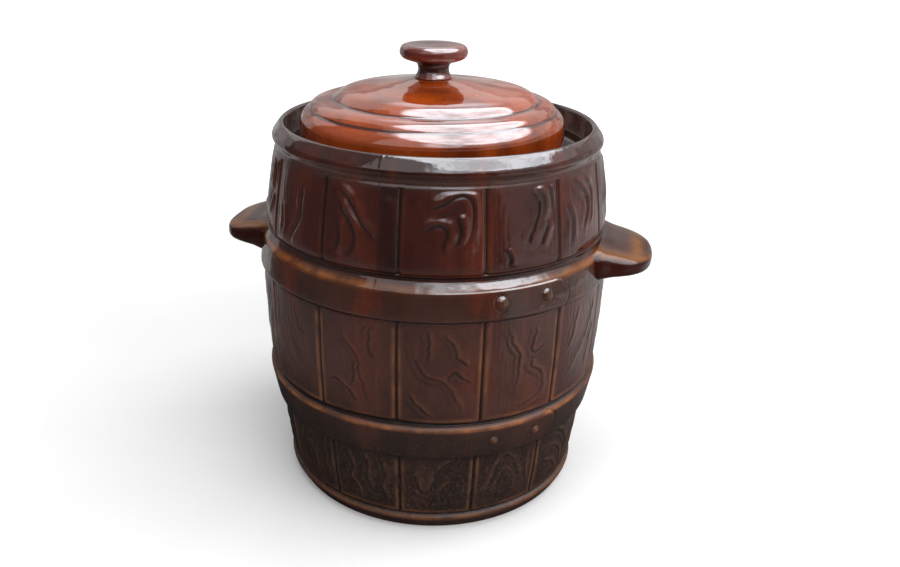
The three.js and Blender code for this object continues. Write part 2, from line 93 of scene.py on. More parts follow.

# Thin glaze on edges, and pooled glaze with painted shade in the gaps by the hoops and the base band, that
# run round the barrel, as (height, width, share)
THIN_BANDS = ((10.8 * MM, 1.1 * MM, 0.45), (91.9 * MM, 1.0 * MM, 0.9))
POOLED_AND_SHADED_BANDS = (
    (13.1 * MM, 0.9 * MM, 0.8),
    (67.4 * MM, 0.7 * MM, 0.7),
    (94.9 * MM, 1.3 * MM, 0.95),
    (171.8 * MM, 0.8 * MM, 0.7),
    (199.4 * MM, 1.0 * MM, 0.95),
)

# Thin glaze on the ledge over the upper hoop, and the place at the front right that lacks most of it
LEDGE_PLACE = 193 * MM
LEDGE_WIDTH = 1.5 * MM
LEDGE_AMBER = 0.85
BARE_ANGLE = math.radians(20)
BARE_SPREAD = math.radians(22)
BARE_SHARE = 0.8

# Lid: offset of its hand-turned dome from the middle, along X and Y, and radius of the gas notches
DOME_OFFSET = (2.6 * MM, -1.2 * MM)
NOTCH_RADIUS = 6 * MM

# Mould seam down the front, pooled glaze between it and the front joint, and drips as (angle, height)
SEAM_ANGLE = math.radians(-6.3)
SEAM_RADIUS = 125 * MM
SEAM_HEIGHT = 0.22 * MM
SEAM_WIDTH = 0.6 * MM
SEAM_POOL = 0.55
DRIPS = ((math.radians(-3.6), 246 * MM), (math.radians(-4.6), 207 * MM), (math.radians(20.5), 219 * MM))
DRIP_PATH_RADIUS = 120 * MM
DRIP_RADIUS = 2.2 * MM
DRIP_HEIGHT = 0.7 * MM

# Fineness of the meshes
COLUMNS_PER_STAVE = 96
FINE_STEP = 0.6 * MM
COARSE_STEP = 5.0 * MM
TURNED_COLUMNS = 192
LID_COLUMNS = 384

# Refraction of glaze and of dull paint
GLAZE_IOR = 1.75
PAINT_IOR = 1.3

# Brightness, against 1 for white, of the sky in the gloss and of the world as light and as seen
SKY_RADIANCE = 9.2
WORLD_LIGHT = 0.38
WORLD_SEEN = 1.0

# Camera fitted to the photograph
IMAGE_WIDTH = 900
FOCAL_PIXELS = 853.6
CAMERA_AZIMUTH = math.radians(10.7)
CAMERA_REACH = 0.609
CAMERA_HEIGHT = 0.4053
CAMERA_DOWN = math.radians(22.74)
CAMERA_ROLL = math.radians(1.26)
CAMERA_SHIFT_PIXELS = (15.45, -6.73)


# Grain motifs: strokes through points (u, v), u from -100 to 100 across a stave and v from 0 to 100 up it
HOOKS = (
    ((-43, 75), (-4, 83), (34, 93), (60, 90), (71, 76), (66, 52), (50, 27)),
    ((-52, 50), (-26, 58), (-1, 59), (9, 50), (2, 34), (18, 20)),
    ((30, 72), (42, 55), (30, 36)),
)
WAVES = (
    ((5, 97), (28, 83), (33, 67), (20, 52), (7, 38), (7, 24)),
    ((24, 97), (42, 86), (49, 70), (40, 57)),
    ((70, 57), (52, 40), (36, 24)),
    ((66, 96), (77, 82), (80, 64)),
    ((-60, 30), (-45, 18), (-50, 8)),
)
LEAF = (
    ((-52, 95), (-8, 80), (15, 66), (11, 50), (-14, 20)),
    ((5, 93), (37, 73), (32, 50), (20, 28)),
    ((-72, 70), (-55, 45), (-62, 15)),
)
BEND = (
    ((24, 90), (30, 66), (24, 40), (-2, 20), (-16, 4)),
    ((-62, 55), (-50, 30), (-68, 10)),
)
FLAME = (
    ((-66, 97), (-40, 86), (-12, 72), (10, 56), (34, 46), (44, 36)),
    ((-60, 80), (-42, 66), (-18, 52), (-6, 38), (-14, 24), (-34, 10)),
    ((-62, 56), (-50, 42), (-52, 30), (-66, 15)),
)
NESTED = (
    ((-80, 94), (-82, 60), (-50, 28), (15, 10)),
    ((-45, 94), (-48, 62), (-20, 36), (40, 22)),
    ((-12, 90), (-12, 66), (10, 50), (50, 42)),
    ((18, 92), (25, 74), (55, 64)),
)
FORK = (
    ((-55, 92), (-22, 74), (6, 60), (12, 44), (24, 26), (46, 6)),
    ((-2, 58), (-4, 42), (-10, 28)),
    ((-76, 30), (-45, 32), (-14, 22), (2, 12)),
    ((45, 95), (35, 76), (55, 58)),
)
BRANCH = (
    ((-75, 90), (-56, 62), (-30, 48), (10, 43), (40, 24), (56, 5)),
    ((2, 94), (30, 79), (46, 64), (74, 58)),
    ((-35, 95), (-26, 78), (-34, 60)),
    ((-80, 32), (-42, 14), (-10, 5)),
    ((15, 42), (34, 52), (72, 40)),
)
RIPPLE = (
    ((-50, 92), (-28, 74), (-12, 60), (-14, 42), (-22, 14)),
    ((40, 95), (24, 74), (30, 62), (76, 70)),
    ((30, 60), (24, 50), (56, 38), (62, 20), (20, 10), (-30, 10)),
)
REEDS = (
    ((-28, 95), (-44, 66), (-68, 50)),
    ((56, 95), (44, 70), (-12, 42), (-66, 18)),
    ((78, 70), (50, 42), (40, 10)),
)
ARCHES = (
    ((-60, 4), (-52, 52), (-8, 86), (36, 52), (44, 4)),
    ((-34, 4), (-28, 42), (-6, 62), (16, 42), (22, 4)),
    ((66, 94), (60, 60), (72, 20)),
)
TULIPS = (
    ((-66, 86), (-52, 50), (-30, 36), (-10, 52), (-2, 88)),
    ((-16, 10), (-8, 56), (20, 84), (56, 92)),
    ((10, 10), (20, 44), (46, 58)),
    ((-70, 22), (-36, 14), (-20, 4)),
)
FANS = (
    ((-72, 66), (-20, 62), (24, 40), (42, 6)),
    ((-72, 44), (-34, 40), (0, 24), (10, 5)),
    ((-70, 90), (0, 84), (52, 58), (74, 20)),
)
WISPS = (
    ((-70, 92), (-42, 70), (-46, 45), (-22, 20), (-26, 5)),
    ((-10, 95), (10, 72), (4, 48), (30, 25)),
    ((40, 92), (62, 66), (52, 36), (70, 10)),
)

# Zones of the staves. Foot and top are heights with the radius at each. The motifs go round the barrel
# from the front joint towards the right lug. Groove, edge, bead and droop shape the border of a stave,
# amber is the thin glaze on it, and tucked is how far its top runs on under the hoop above. Ridge and cut
# shape the carved lines, dark is the pooled glaze with painted shade in them, rubbed is the thin glaze on
# them, waver and jag make them unsteady, and flow is the height of the fine grain between them.
LOWER_ZONE = SimpleNamespace(
    foot=14.4 * MM, foot_radius=112.3 * MM, top=66.6 * MM, top_radius=117.6 * MM,
    motifs=(
        TULIPS, ARCHES, FANS, WISPS, ARCHES, TULIPS, FANS,
        WISPS, TULIPS, ARCHES, FANS, TULIPS, ARCHES, WISPS,
    ),
    groove=1.2 * MM, edge=0.9 * MM, bead=0.15 * MM, amber=0.34, droop=0.0, tucked=6 * MM,
    ridge=0.55 * MM, ridge_width=1.4 * MM, cut=0.5 * MM, cut_width=0.8 * MM, dark=0.7, flow=0.05 * MM,
    rubbed=0.15, waver=0.5 * MM, jag=0.2 * MM,
)
MIDDLE_ZONE = SimpleNamespace(
    foot=96.8 * MM, foot_radius=125.2 * MM, top=170.9 * MM, top_radius=127.2 * MM,
    motifs=(
        BRANCH, RIPPLE, REEDS, NESTED, FORK, BRANCH, RIPPLE,
        NESTED, REEDS, FORK, BRANCH, REEDS, NESTED, FORK,
    ),
    groove=1.3 * MM, edge=0.8 * MM, bead=0.24 * MM, amber=0.48, droop=0.0, tucked=6 * MM,
    ridge=0.45 * MM, ridge_width=1.3 * MM, cut=0.5 * MM, cut_width=0.6 * MM, dark=0.85, flow=0.06 * MM,
    rubbed=0.14, waver=0.5 * MM, jag=0.35 * MM,
)
UPPER_ZONE = SimpleNamespace(
    foot=201.2 * MM, foot_radius=124.3 * MM, top=255.5 * MM, top_radius=116.8 * MM,
    motifs=(
        HOOKS, WAVES, LEAF, FLAME, BEND, HOOKS, LEAF,
        WAVES, FLAME, BEND, LEAF, WAVES, BEND, FLAME,
    ),
    groove=1.3 * MM, edge=1.8 * MM, bead=0.0, amber=0.1, droop=0.9 * MM, tucked=2 * MM,
    ridge=1.0 * MM, ridge_width=2.0 * MM, cut=0.5 * MM, cut_width=1.0 * MM, dark=0.85, flow=0.04 * MM,
    rubbed=0.05, waver=0.25 * MM, jag=0.0,
)


def smooth_step(low, high, value):
    """0 below low, 1 above high, smooth between."""
    t = np.clip((value - low) / (high - low), 0.0, 1.0)
    return t * t * (3 - 2 * t)


def bump(offset, width):
    """Bell of height 1 at offset 0."""
    return np.exp(-0.5 * (offset / width) ** 2)


def wrapped(angle):
    """Angle brought to the range from -pi to pi."""
    return (angle + math.pi) % (2 * math.pi) - math.pi


def spline_points(points, count):
    """Points along a smooth curve through the given ones."""
    points = np.array(points, float)
    padded = np.vstack([2 * points[0] - points[1], points, 2 * points[-1] - points[-2]])
    found = []
    for place in np.linspace(0, len(points) - 1 - 1e-9, count):
        i = int(place)
        t = place - i
        a, b, c, d = padded[i : i + 4]
        square = 2 * a - 5 * b + 4 * c - d
        cube = 3 * b - a - 3 * c + d
        found.append(0.5 * (2 * b + (c - a) * t + square * t**2 + cube * t**3))
    return np.array(found)


def rounded_outline(corners, step):
    """Dense outline, in metres, through corners (radius, height, rounding) given in millimetres."""
    corners = np.array(corners) * MM
    dense = []
    for i, (r, z, rounding) in enumerate(corners):
        here = np.array([r, z])
        if i == 0 or i == len(corners) - 1 or rounding <= 0:
            dense.append(here)
            continue
        before = np.array(corners[i - 1][:2]) - here
        after = np.array(corners[i + 1][:2]) - here
        reach_before = min(rounding, 0.5 * np.linalg.norm(before))
        reach_after = min(rounding, 0.5 * np.linalg.norm(after))
        start = here + before / np.linalg.norm(before) * reach_before
        end = here + after / np.linalg.norm(after) * reach_after
        count = max(6, math.ceil((reach_before + reach_after) / step))
        for t in np.linspace(0, 1, count):
            dense.append((1 - t) ** 2 * start + 2 * t * (1 - t) * here + t**2 * end)
    outline = [dense[0]]
    for a, b in zip(dense[:-1], dense[1:]):
        pieces = max(1, math.ceil(np.linalg.norm(b - a) / step))
        outline.extend(a + (b - a) * (k + 1) / pieces for k in range(pieces))
    kept = [outline[0]]
    for point in outline[1:]:
        if np.linalg.norm(point - kept[-1]) > 1e-6:
            kept.append(point)
    return np.array(kept)


def mesh_piece(name, vertices, faces):
    """New smooth-shaded object from vertices and faces."""
    mesh = bpy.data.meshes.new(name)
    mesh.from_pydata(np.asarray(vertices).tolist(), [], faces)
    mesh.polygons.foreach_set("use_smooth", [True] * len(mesh.polygons))
    mesh.update()
    piece = bpy.data.objects.new(name, mesh)
    bpy.context.scene.collection.objects.link(piece)
    return piece


def grid_faces(rows, columns, closed_rows=False):
    """Faces of a grid whose columns join round; closed_rows also joins the last row to the first."""
    index = np.arange(rows * columns).reshape(rows, columns)
    below = index if closed_rows else index[:-1]
    above = np.roll(index, -1, axis=0) if closed_rows else index[1:]
    quads = np.stack([below, np.roll(below, -1, axis=1), np.roll(above, -1, axis=1), above], axis=-1)
    return quads.reshape(-1, 4).tolist()


def turned_piece(name, outline, radii=None, columns=TURNED_COLUMNS, centre=(0.0, 0.0), closed_rows=False):
    """Turned piece from an outline of (radius, height); radii gives each row its own radius per column.
    An outline that starts or ends on the axis is closed there with one vertex."""
    angles = np.arange(columns) * 2 * math.pi / columns
    if radii is None:
        radii = np.repeat(outline[:, :1], columns, axis=1)
    first = 1 if outline[0, 0] < 1e-9 else 0
    last = len(outline) - 1 if outline[-1, 0] < 1e-9 else len(outline)
    rows = last - first
    ring = radii[first:last]
    heights = np.repeat(outline[first:last, 1:], columns, axis=1)
    points = np.stack(
        [centre[0] + ring * np.sin(angles), centre[1] - ring * np.cos(angles), heights], axis=-1
    ).reshape(-1, 3)
    faces = grid_faces(rows, columns, closed_rows)
    ends = []
    for side, row in ((0, 0), (-1, rows - 1)):
        if outline[side, 0] >= 1e-9:
            continue
        hub = rows * columns + len(ends)
        ends.append((centre[0], centre[1], outline[side, 1]))
        ring_index = [row * columns + j for j in range(columns)]
        for j in range(columns):
            pair = (ring_index[j], ring_index[(j + 1) % columns])
            faces.append([hub, pair[1], pair[0]] if side == 0 else [hub, pair[0], pair[1]])
    vertices = np.vstack([points, ends]) if ends else points
    return mesh_piece(name, vertices, faces)


def store(piece, name, values):
    """Keeps one number per vertex for the materials."""
    attribute = piece.data.attributes.new(name, "FLOAT", "POINT")
    padded = np.zeros(len(piece.data.vertices))
    padded[: len(values)] = values
    attribute.data.foreach_set("value", padded)


# Outline of the barrel


def zone_corners(zone):
    """Corners up one zone of staves, slightly bowed."""
    foot_radius, foot, top_radius, top = (
        length / MM for length in (zone.foot_radius, zone.foot, zone.top_radius, zone.top)
    )
    middle = ((foot_radius + top_radius) / 2 + STAVE_BOW / MM, (foot + top) / 2, 12)
    return [(foot_radius, foot, 0.9), middle, (top_radius, top, 0.9)]


def outside_corners():
    """Corners from the middle of the underside up the outside to the rim."""
    rim = RIM_TOP / MM
    round_edge = 1.6
    return [
        (0, 2, 0),
        (91.7, 2, 0.6),
        (94, 0, 0.6),
        (108.6, 0, 1.2),
        (110.4, 2.2, 1.5),
        (113.9, 9, 1.5),
        (113.8, 11.6, 1.2),
        (110.9, 13, 0.8),
        *zone_corners(LOWER_ZONE),
        (116.2, 67.8, 0.4),
        (LOWER_HOOP.foot_radius / MM - 0.5, LOWER_HOOP.foot / MM, 0.5),
        (LOWER_HOOP.foot_radius / MM, LOWER_HOOP.foot / MM + 1.4, round_edge),
        (LOWER_HOOP.top_radius / MM, LOWER_HOOP.top / MM - 2.2, round_edge),
        (LOWER_HOOP.top_radius / MM - 0.9, LOWER_HOOP.top / MM, round_edge),
        (123.4, 94.3, 0.7),
        (123.4, 95.4, 0.6),
        *zone_corners(MIDDLE_ZONE),
        (125.9, 172.1, 0.4),
        (UPPER_HOOP.foot_radius / MM - 0.5, UPPER_HOOP.foot / MM, 0.5),
        (UPPER_HOOP.foot_radius / MM, UPPER_HOOP.foot / MM + 1.4, round_edge),
        (UPPER_HOOP.top_radius / MM + 0.8, UPPER_HOOP.top / MM - 0.2, 2.4),
        (122.2, UPPER_HOOP.top / MM + 5.8, 1.4),
        (121.8, 198.9, 0.8),
        (122.8, 200.3, 0.8),
        *zone_corners(UPPER_ZONE),
        (115.6, 257.8, 1.6),
        (116.0, 260.2, 2.4),
        (118.9, 264.8, 3.8),
        (112.7, rim - 0.8, 3.0),
        (110.5, rim, 1.8),
        (109, rim - 1.7, 1.7),
        (109, rim - 4, 0),
    ]


def inside_corners():
    """Corners from the rim down the inside to the middle of the floor."""
    rim, neck = RIM_TOP / MM, GUTTER_LOW.z / MM
    return [
        (109, rim - 12, 0),
        (109, neck, 4),
        (111.3, neck - 11, 4),
        (115.3, 201.5, 8),
        (118.2, 172.5, 8),
        (116.2, 93, 8),
        (108.6, 68, 8),
        (104.2, 18, 8),
        (96, 12, 8),
        (0, 12, 0),
    ]


# Relief of the staves, hoops and seam


def grain_relief(x, y, zone, motif, mirror, half_width):
    """Height, pooled glaze with painted shade, and thin glaze of one stave's carved lines, at x across and
    y up from its foot.
    """
    height = np.zeros_like(x)
    dark = np.zeros_like(x)
    thin = np.zeros_like(x)
    slow_x = np.sin(y / (2.6 * MM) + 1.4 * np.sin(x / (4.3 * MM)))
    slow_y = np.sin(x / (2.9 * MM) + 1.7 * np.sin(y / (5.1 * MM)))
    quick_x = np.sin(y / (1.1 * MM))
    x = x + zone.waver * slow_x + zone.jag * quick_x
    y = y + zone.waver * slow_y
    for stroke in motif:
        points = spline_points(stroke, 40) / 100 * np.array([half_width * mirror, zone.top - zone.foot])
        tangents = np.gradient(points, axis=0)
        away = np.stack([x[..., None] - points[:, 0], y[..., None] - points[:, 1]])
        nearest = np.argmin(np.hypot(away[0], away[1]), axis=-1)
        dx = x - points[nearest, 0]
        dy = y - points[nearest, 1]
        side = np.sign(mirror * (tangents[nearest, 0] * dy - tangents[nearest, 1] * dx))
        across = side * np.hypot(dx, dy)
        share = nearest / (len(points) - 1)
        fade = smooth_step(0, 0.18, share) * smooth_step(0, 0.25, 1 - share)
        line = bump(across, zone.cut_width)
        beside = bump(across - 1.3 * zone.ridge_width, zone.ridge_width)
        beyond = bump(across + 2.0 * zone.ridge_width, zone.ridge_width)
        echo = (1 - share) * bump(across + 3.4 * zone.ridge_width, zone.cut_width)
        height += fade * (zone.ridge * (beside + 0.4 * beyond) - zone.cut * (line + 0.5 * echo))
        dark += fade * (line + 0.5 * echo)
        thin += zone.rubbed * fade * beside
    return height, np.clip(dark, 0, 1), np.clip(thin, 0, zone.rubbed)


def stave_relief(zone, rows_z, rows_r, angles):
    """Height, thin edges, and pooled glaze with painted shade in the grooves and carved lines, of the
    staves in one zone, for the rows that lie in it.
    """
    middle = (zone.foot + zone.top) / 2
    half_height = (zone.top - zone.foot) / 2
    shape = (len(rows_z), len(angles))
    relief, edge, pool_and_shade = np.zeros(shape), np.zeros(shape), np.zeros(shape)
    for stave in range(STAVES):
        columns = slice(stave * COLUMNS_PER_STAVE, (stave + 1) * COLUMNS_PER_STAVE)
        off = angles[columns] - (stave + 0.5) * STAVE_PITCH
        x = rows_r[:, None] * off[None, :]
        y = np.repeat((rows_z - middle)[:, None], COLUMNS_PER_STAVE, axis=1)
        half_width = rows_r[:, None] * STAVE_PITCH / 2 - GROOVE_HALF_WIDTH
        qx = np.abs(x) - half_width + STAVE_CORNER
        qy = np.maximum(y - half_height - zone.tucked, -y - half_height) + STAVE_CORNER
        outside = np.hypot(np.maximum(qx, 0), np.maximum(qy, 0)) + np.minimum(np.maximum(qx, qy), 0)
        inset = STAVE_CORNER - outside
        panel = -zone.groove * (1 - smooth_step(-0.7 * MM, zone.edge, inset))
        panel += zone.bead * bump(inset - BEAD_INSET, BORDER_WIDTH)
        panel -= zone.droop * (1 - smooth_step(0, 5.5 * MM, y + half_height))
        crown = STAVE_CROWN * (1 - np.clip(x / half_width, -1, 1) ** 2) * smooth_step(2 * MM, 9 * MM, inset)
        mirror = -1 if stave in HIDDEN_STAVES and stave % 2 else 1
        mean_half = float(half_width.mean())
        carved, dark, thin = grain_relief(x, y + half_height, zone, zone.motifs[stave], mirror, mean_half)
        within = smooth_step(2.5 * MM, 5 * MM, inset)
        below_top = smooth_step(2 * MM, 8 * MM, half_height - y)
        drift = 1.6 * np.sin(y / (13 * MM) + 2.1 * stave) + 0.9 * np.sin(y / (6 * MM) + stave)
        streaks = np.sin(x / (0.62 * MM) + drift) * np.sin(x / (2.9 * MM) - 0.7 * drift + stave)
        relief[:, columns] = panel + crown + (carved + zone.flow * streaks) * within
        edge[:, columns] = zone.amber * bump(inset - AMBER_INSET, BORDER_WIDTH) * below_top + thin * within
        # Painted shade: the grooves, down to the foot of each stave, and the carved lines are darkened
        # along with the pooled glaze in them
        in_groove = 1 - smooth_step(-0.6 * MM, 0.5 * MM, inset)
        pool_and_shade[:, columns] = np.maximum(in_groove, zone.dark * dark * within)
    return relief, edge, pool_and_shade


def hoop_relief(hoop, rows_z, angles):
    """Height of one hoop's lapped tongue and rivets, and thin glaze on the rivets, for the rows on it."""
    middle, half = (hoop.foot + hoop.top) / 2, (hoop.top - hoop.foot) / 2
    z = (rows_z - middle)[:, None]
    turn = wrapped(angles)[None, :]
    lift = LAP_THICKNESS * np.clip((turn - LAP_START) / (TONGUE_END - LAP_START), 0, 1)
    to_end = (turn - TONGUE_END) * hoop.foot_radius + half
    past = np.where(to_end > 0, np.hypot(np.maximum(to_end, 0), z) - half, -half)
    relief = lift * (1 - smooth_step(-0.7 * MM, 0.5 * MM, past))
    relief -= 0.5 * MM * bump(past - 0.7 * MM, 0.7 * MM) * (turn > LAP_START) * (to_end > -half)
    thin = np.zeros_like(relief)
    for angle in RIVET_ANGLES:
        from_rivet = np.hypot((turn - angle) * hoop.foot_radius, z - hoop.rivet_up)
        dome = np.clip(1 - (from_rivet / hoop.rivet) ** 2, 0, 1) ** 0.8
        relief += RIVET_HEIGHT * dome - 0.12 * MM * bump(from_rivet - hoop.rivet - 0.5 * MM, 0.6 * MM)
        thin += hoop.rubbed * dome
    return relief, thin


def glaze_bands(height, bands):
    """Sum of soft bands that run round the barrel, by height."""
    return sum(share * bump(height - place, width) for place, width, share in bands)[:, None]


def ledge_edge(height, angles):
    """Thin glaze on the ledge over the upper hoop, less of it at the front towards the right."""
    full = 1 - BARE_SHARE * bump(wrapped(angles) - BARE_ANGLE, BARE_SPREAD)
    return LEDGE_AMBER * bump(height - LEDGE_PLACE, LEDGE_WIDTH)[:, None] * full[None, :]


def drip_relief(height, angles):
    """Height of the hardened drips of glaze near the seam."""
    relief = np.zeros((len(height), len(angles)))
    for angle, place in DRIPS:
        across = wrapped(angles - angle)[None, :] * DRIP_PATH_RADIUS
        relief += DRIP_HEIGHT * bump(across, 1.5 * DRIP_RADIUS) * bump(height[:, None] - place, DRIP_RADIUS)
    return relief


def hand_wobble(height, angles):
    """Slow unevenness of a casting that isn't quite round."""
    turn, up = angles[None, :], height[:, None]
    return 0.22 * MM * np.sin(2 * turn + 21 * up) + 0.16 * MM * np.sin(5 * turn - 34 * up + 1.3)


def build_barrel():
    """The barrel with its staves, hoops, rivets, seam and drips as one displaced mesh."""
    outside = rounded_outline(outside_corners(), FINE_STEP)
    inside = rounded_outline(inside_corners(), COARSE_STEP)
    outline = np.vstack([outside, inside])
    columns = STAVES * COLUMNS_PER_STAVE
    angles = np.arange(columns) * 2 * math.pi / columns
    radius, height = outline[:, 0], outline[:, 1]
    on_outside = (np.arange(len(outline)) < len(outside)) & (radius > 109.5 * MM)
    shape = (len(outline), columns)
    relief, edge, pool_and_shade = np.zeros(shape), np.zeros(shape), np.zeros(shape)
    edge[on_outside] = glaze_bands(height[on_outside], THIN_BANDS) + ledge_edge(height[on_outside], angles)
    pool_and_shade[on_outside] = glaze_bands(height[on_outside], POOLED_AND_SHADED_BANDS)
    for zone in (LOWER_ZONE, MIDDLE_ZONE, UPPER_ZONE):
        rows = on_outside & (height >= zone.foot) & (height <= zone.top)
        carved, thin, stave_pool_and_shade = stave_relief(zone, height[rows], radius[rows], angles)
        relief[rows] = carved
        edge[rows] = np.maximum(edge[rows], thin)
        pool_and_shade[rows] = np.maximum(pool_and_shade[rows], stave_pool_and_shade)
    for hoop in (LOWER_HOOP, UPPER_HOOP):
        rows = on_outside & (height >= hoop.foot) & (height <= hoop.top)
        lapped, thin = hoop_relief(hoop, height[rows], angles)
        relief[rows] += lapped
        edge[rows] = np.maximum(edge[rows], thin)
    # Painted shadow: the open gap is darkened like pooled glaze, for the shade inside it, as well as cut
    # deeper
    open_part = bump(wrapped(angles - GAP_ANGLE), GAP_SPREAD)
    gap = bump(height - GAP_PLACE, GAP_WIDTH)[:, None] * open_part[None, :]
    relief[on_outside] -= GAP_DEPTH * gap[on_outside]
    pool_and_shade[on_outside] = np.maximum(pool_and_shade[on_outside], gap[on_outside])
    seam = wrapped(angles - SEAM_ANGLE) * SEAM_RADIUS
    relief[on_outside] += SEAM_HEIGHT * bump(seam, SEAM_WIDTH)
    beside_seam = smooth_step(-1 * MM, 1.5 * MM, seam) * (wrapped(angles) < 0)
    upper = on_outside & (height >= UPPER_ZONE.foot) & (height <= UPPER_ZONE.top)
    pool_and_shade[upper] = np.maximum(pool_and_shade[upper], SEAM_POOL * beside_seam)
    relief[on_outside] += drip_relief(height[on_outside], angles) + hand_wobble(height[on_outside], angles)
    piece = turned_piece("barrel", outline, radius[:, None] + relief, columns)
    store(piece, "edge", edge[1:-1].reshape(-1))
    store(piece, "pool_and_shade", pool_and_shade[1:-1].reshape(-1))
    wetted = ~on_outside & (height > GUTTER_LOW.z) & (height < RIM_TOP - 2 * MM)
    store(piece, "scale", np.repeat(wetted[1:-1].astype(float), columns))
    return piece


# Lid, knob and gutter


def outline_bend(outline):
    """How sharply the outline turns at each row, per millimetre, positive where it is convex."""
    step = np.gradient(outline, axis=0)
    heading = np.unwrap(np.arctan2(step[:, 1], step[:, 0]))
    return MM * np.gradient(heading) / np.linalg.norm(step, axis=1)


def cut_notches(piece):
    """Arches the foot of the lid's skirt into a round notch on each side, where gas bubbles out."""
    vertices = piece.data.vertices
    points = np.empty(3 * len(vertices))
    vertices.foreach_get("co", points)
    points = points.reshape(-1, 3)
    off = points[:, 1] - LID_CENTRE.y
    arch = np.sqrt(np.clip(NOTCH_RADIUS**2 - off**2, 0, None))
    points[:, 2] += arch * np.clip(1 - (points[:, 2] - LID_LOW.z) / (2 * NOTCH_RADIUS), 0, 1)
    vertices.foreach_set("co", points.reshape(-1))
    piece.data.update()


def build_lid():
    """Stepped lid with a shallow, almost conical top; the skirt stands in the gutter."""
    foot, crown = LID_LOW.z / MM, LID_HIGH.z / MM
    skirt = (LID_HIGH.x - LID_LOW.x) / 2 / MM
    wall = 7
    shoulder = foot + 27.3
    corners = [
        (0, crown - wall, 0),
        (35, crown - wall - 3.2, 12),
        (67, shoulder + 8.6, 6),
        (83, shoulder + 3, 6),
        (skirt - wall, shoulder - wall, 4),
        (skirt - wall, foot, 2),
        (skirt, foot, 2),
        (skirt, shoulder - 3, 2.5),
        (skirt - 1, shoulder - 0.4, 1.8),
        (skirt - 3.2, shoulder + 2.6, 2.2),
        (skirt - 6.6, shoulder + 5.4, 1.2),
        (skirt - 7.4, shoulder + 6.8, 0.8),
        (skirt - 9.6, shoulder + 8.9, 2),
        (skirt - 13.5, shoulder + 10.4, 3),
        (skirt - 21.8, shoulder + 11.6, 1.4),
        (skirt - 22.6, shoulder + 12.8, 0.8),
        (skirt - 25.2, shoulder + 14.8, 2.2),
        (skirt - 28.6, shoulder + 16.9, 2.4),
        (skirt - 33.5, shoulder + 18.3, 3),
        (32, crown - 2.75, 10),
        (14.4, crown, 2.5),
        (0, crown, 0),
    ]
    outline = rounded_outline(corners, 1.2 * MM)
    bend_and_crease_shade = outline_bend(outline)
    top = (outline[:, 1] > shoulder * MM) & (np.arange(len(outline)) > len(outline) / 2)
    radius = outline[:, 0]
    rings = 0.006 * MM * np.sin(radius / (0.9 * MM)) + 0.02 * MM * np.sin(radius / (2.1 * MM) + 1)
    outline[:, 1] += rings * top * smooth_step(16 * MM, 26 * MM, radius)
    angles = np.arange(LID_COLUMNS) * 2 * math.pi / LID_COLUMNS
    moved = top * (1 - smooth_step((skirt - 22) * MM, (skirt - 8) * MM, radius))
    moved *= smooth_step(16 * MM, 45 * MM, radius)
    aside = DOME_OFFSET[0] * np.sin(angles) - DOME_OFFSET[1] * np.cos(angles)
    radii = radius[:, None] + moved[:, None] * aside[None, :]
    piece = turned_piece("lid_shell", outline, radii, LID_COLUMNS, LID_CENTRE.xy)
    cut_notches(piece)
    # Painted shade: the two creases between the lid's steps are made to bend further inwards, so that the
    # glaze darkens them more
    for crease in (skirt - 7.2, skirt - 22.2):
        bend_and_crease_shade -= 0.15 * top * bump(radius - crease * MM, 1.5 * MM)
    store(piece, "edge", np.repeat(bend_and_crease_shade[1:-1], LID_COLUMNS))
    return piece


def build_knob():
    """Mushroom knob on a short waisted neck."""
    foot, top = KNOB_LOW.z / MM, KNOB_HIGH.z / MM
    head = (KNOB_HIGH.x - KNOB_LOW.x) / 2 / MM
    columns = 128
    corners = [
        (0, foot, 0),
        (13.2, foot, 0.4),
        (12.6, foot + 1.3, 1),
        (11.2, foot + 3.8, 2.4),
        (10.7, foot + 6.8, 2.4),
        (11.6, foot + 9.6, 1.6),
        (14, foot + 11, 1.6),
        (18.2, foot + 12.1, 2.4),
        (21.8, foot + 13.4, 1.8),
        (head - 0.4, foot + 15.5, 1.8),
        (head, foot + 18, 1.8),
        (head - 0.7, foot + 20.6, 1.8),
        (head - 2.6, foot + 22.4, 1.8),
        (head - 5.6, top - 0.5, 2),
        (10, top - 0.1, 5),
        (0, top, 0),
    ]
    outline = rounded_outline(corners, 1 * MM)
    piece = turned_piece("knob", outline, columns=columns, centre=KNOB_CENTRE.xy)
    store(piece, "edge", np.repeat(outline_bend(outline)[1:-1], columns))
    return piece


def build_gutter():
    """Ring with the floor of the water channel and the neck."""
    low, high = GUTTER_LOW.z / MM, GUTTER_HIGH.z / MM
    outer = (GUTTER_HIGH.x - GUTTER_LOW.x) / 2 / MM
    floor = low + 8
    mouth, neck = 73, 81
    corners = [
        (mouth, low + 10, 0),
        (mouth, low, 1.5),
        (outer, low, 0.4),
        (outer, floor + 8.5, 0.4),
        (outer - 1, floor + 8.5, 0.4),
        (outer - 1.4, floor, 8),
        (neck, floor, 4),
        (neck, high, 4),
        (mouth, high, 4),
        (mouth, low + 11, 0),
    ]
    return turned_piece("gutter_channel", rounded_outline(corners, 2 * MM), closed_rows=True)


# Lugs and stones


